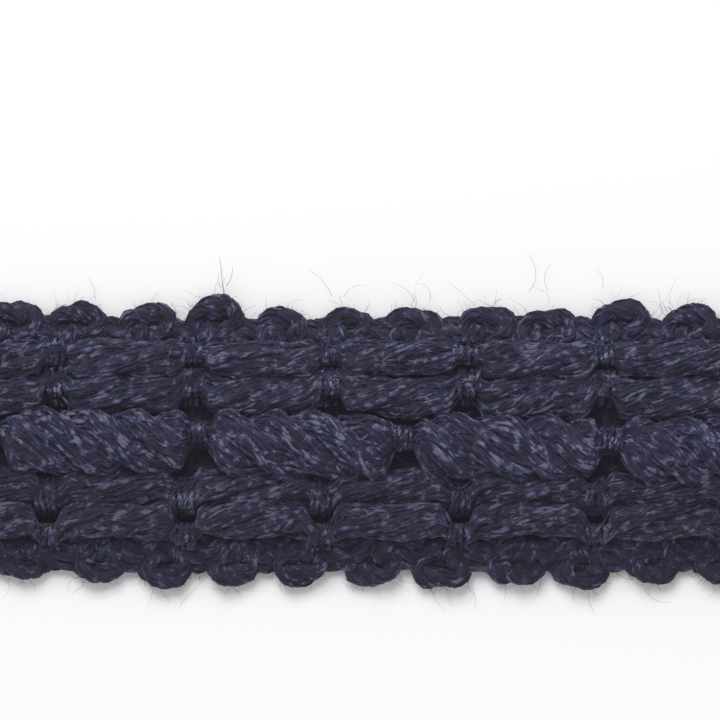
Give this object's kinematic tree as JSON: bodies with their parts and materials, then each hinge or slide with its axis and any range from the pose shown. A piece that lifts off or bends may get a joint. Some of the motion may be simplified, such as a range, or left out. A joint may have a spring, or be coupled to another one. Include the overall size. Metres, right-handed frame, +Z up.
{
  "type": "braid trim",
  "caption": "Woven gimp braid trim in dark navy wool with scallop loops on both edges, padded lengthwise side yarns and a twisted centre cord, cut to length and lying flat.",
  "frame": {"origin": "on the surface that the trim lies on, under the middle of its length and width", "axes": "+X along the trim, +Y across it towards the picture's upper edge, +Z up out of its face"},
  "size_m": [0.0658, 0.0156, 0.0035],
  "materials": {
    "ground": "woven wool",
    "side_yarn": "soft spun wool yarn",
    "cord": "three-ply wool cord",
    "binding_thread": "fine wool thread"
  },
  "bodies": {
    "root": {"ground_band": "ground", "side_yarn_1": "side_yarn", "side_yarn_2": "side_yarn", "side_yarn_3": "side_yarn", "side_yarn_4": "side_yarn", "centre_cord": "cord", "upper_tie_1": "binding_thread", "upper_tie_2": "binding_thread", "upper_tie_3": "binding_thread", "upper_tie_4": "binding_thread", "upper_tie_5": "binding_thread", "upper_tie_6": "binding_thread", "upper_tie_7": "binding_thread", "upper_tie_8": "binding_thread", "upper_tie_9": "binding_thread", "lower_tie_1": "binding_thread", "lower_tie_2": "binding_thread", "lower_tie_3": "binding_thread", "lower_tie_4": "binding_thread", "lower_tie_5": "binding_thread", "lower_tie_6": "binding_thread", "lower_tie_7": "binding_thread", "lower_tie_8": "binding_thread", "lower_tie_9": "binding_thread", "cord_tie_1": "binding_thread", "cord_tie_2": "binding_thread", "cord_tie_3": "binding_thread", "cord_tie_4": "binding_thread", "cord_tie_5": "binding_thread", "cord_tie_6": "binding_thread"}
  },
  "joints": []
}
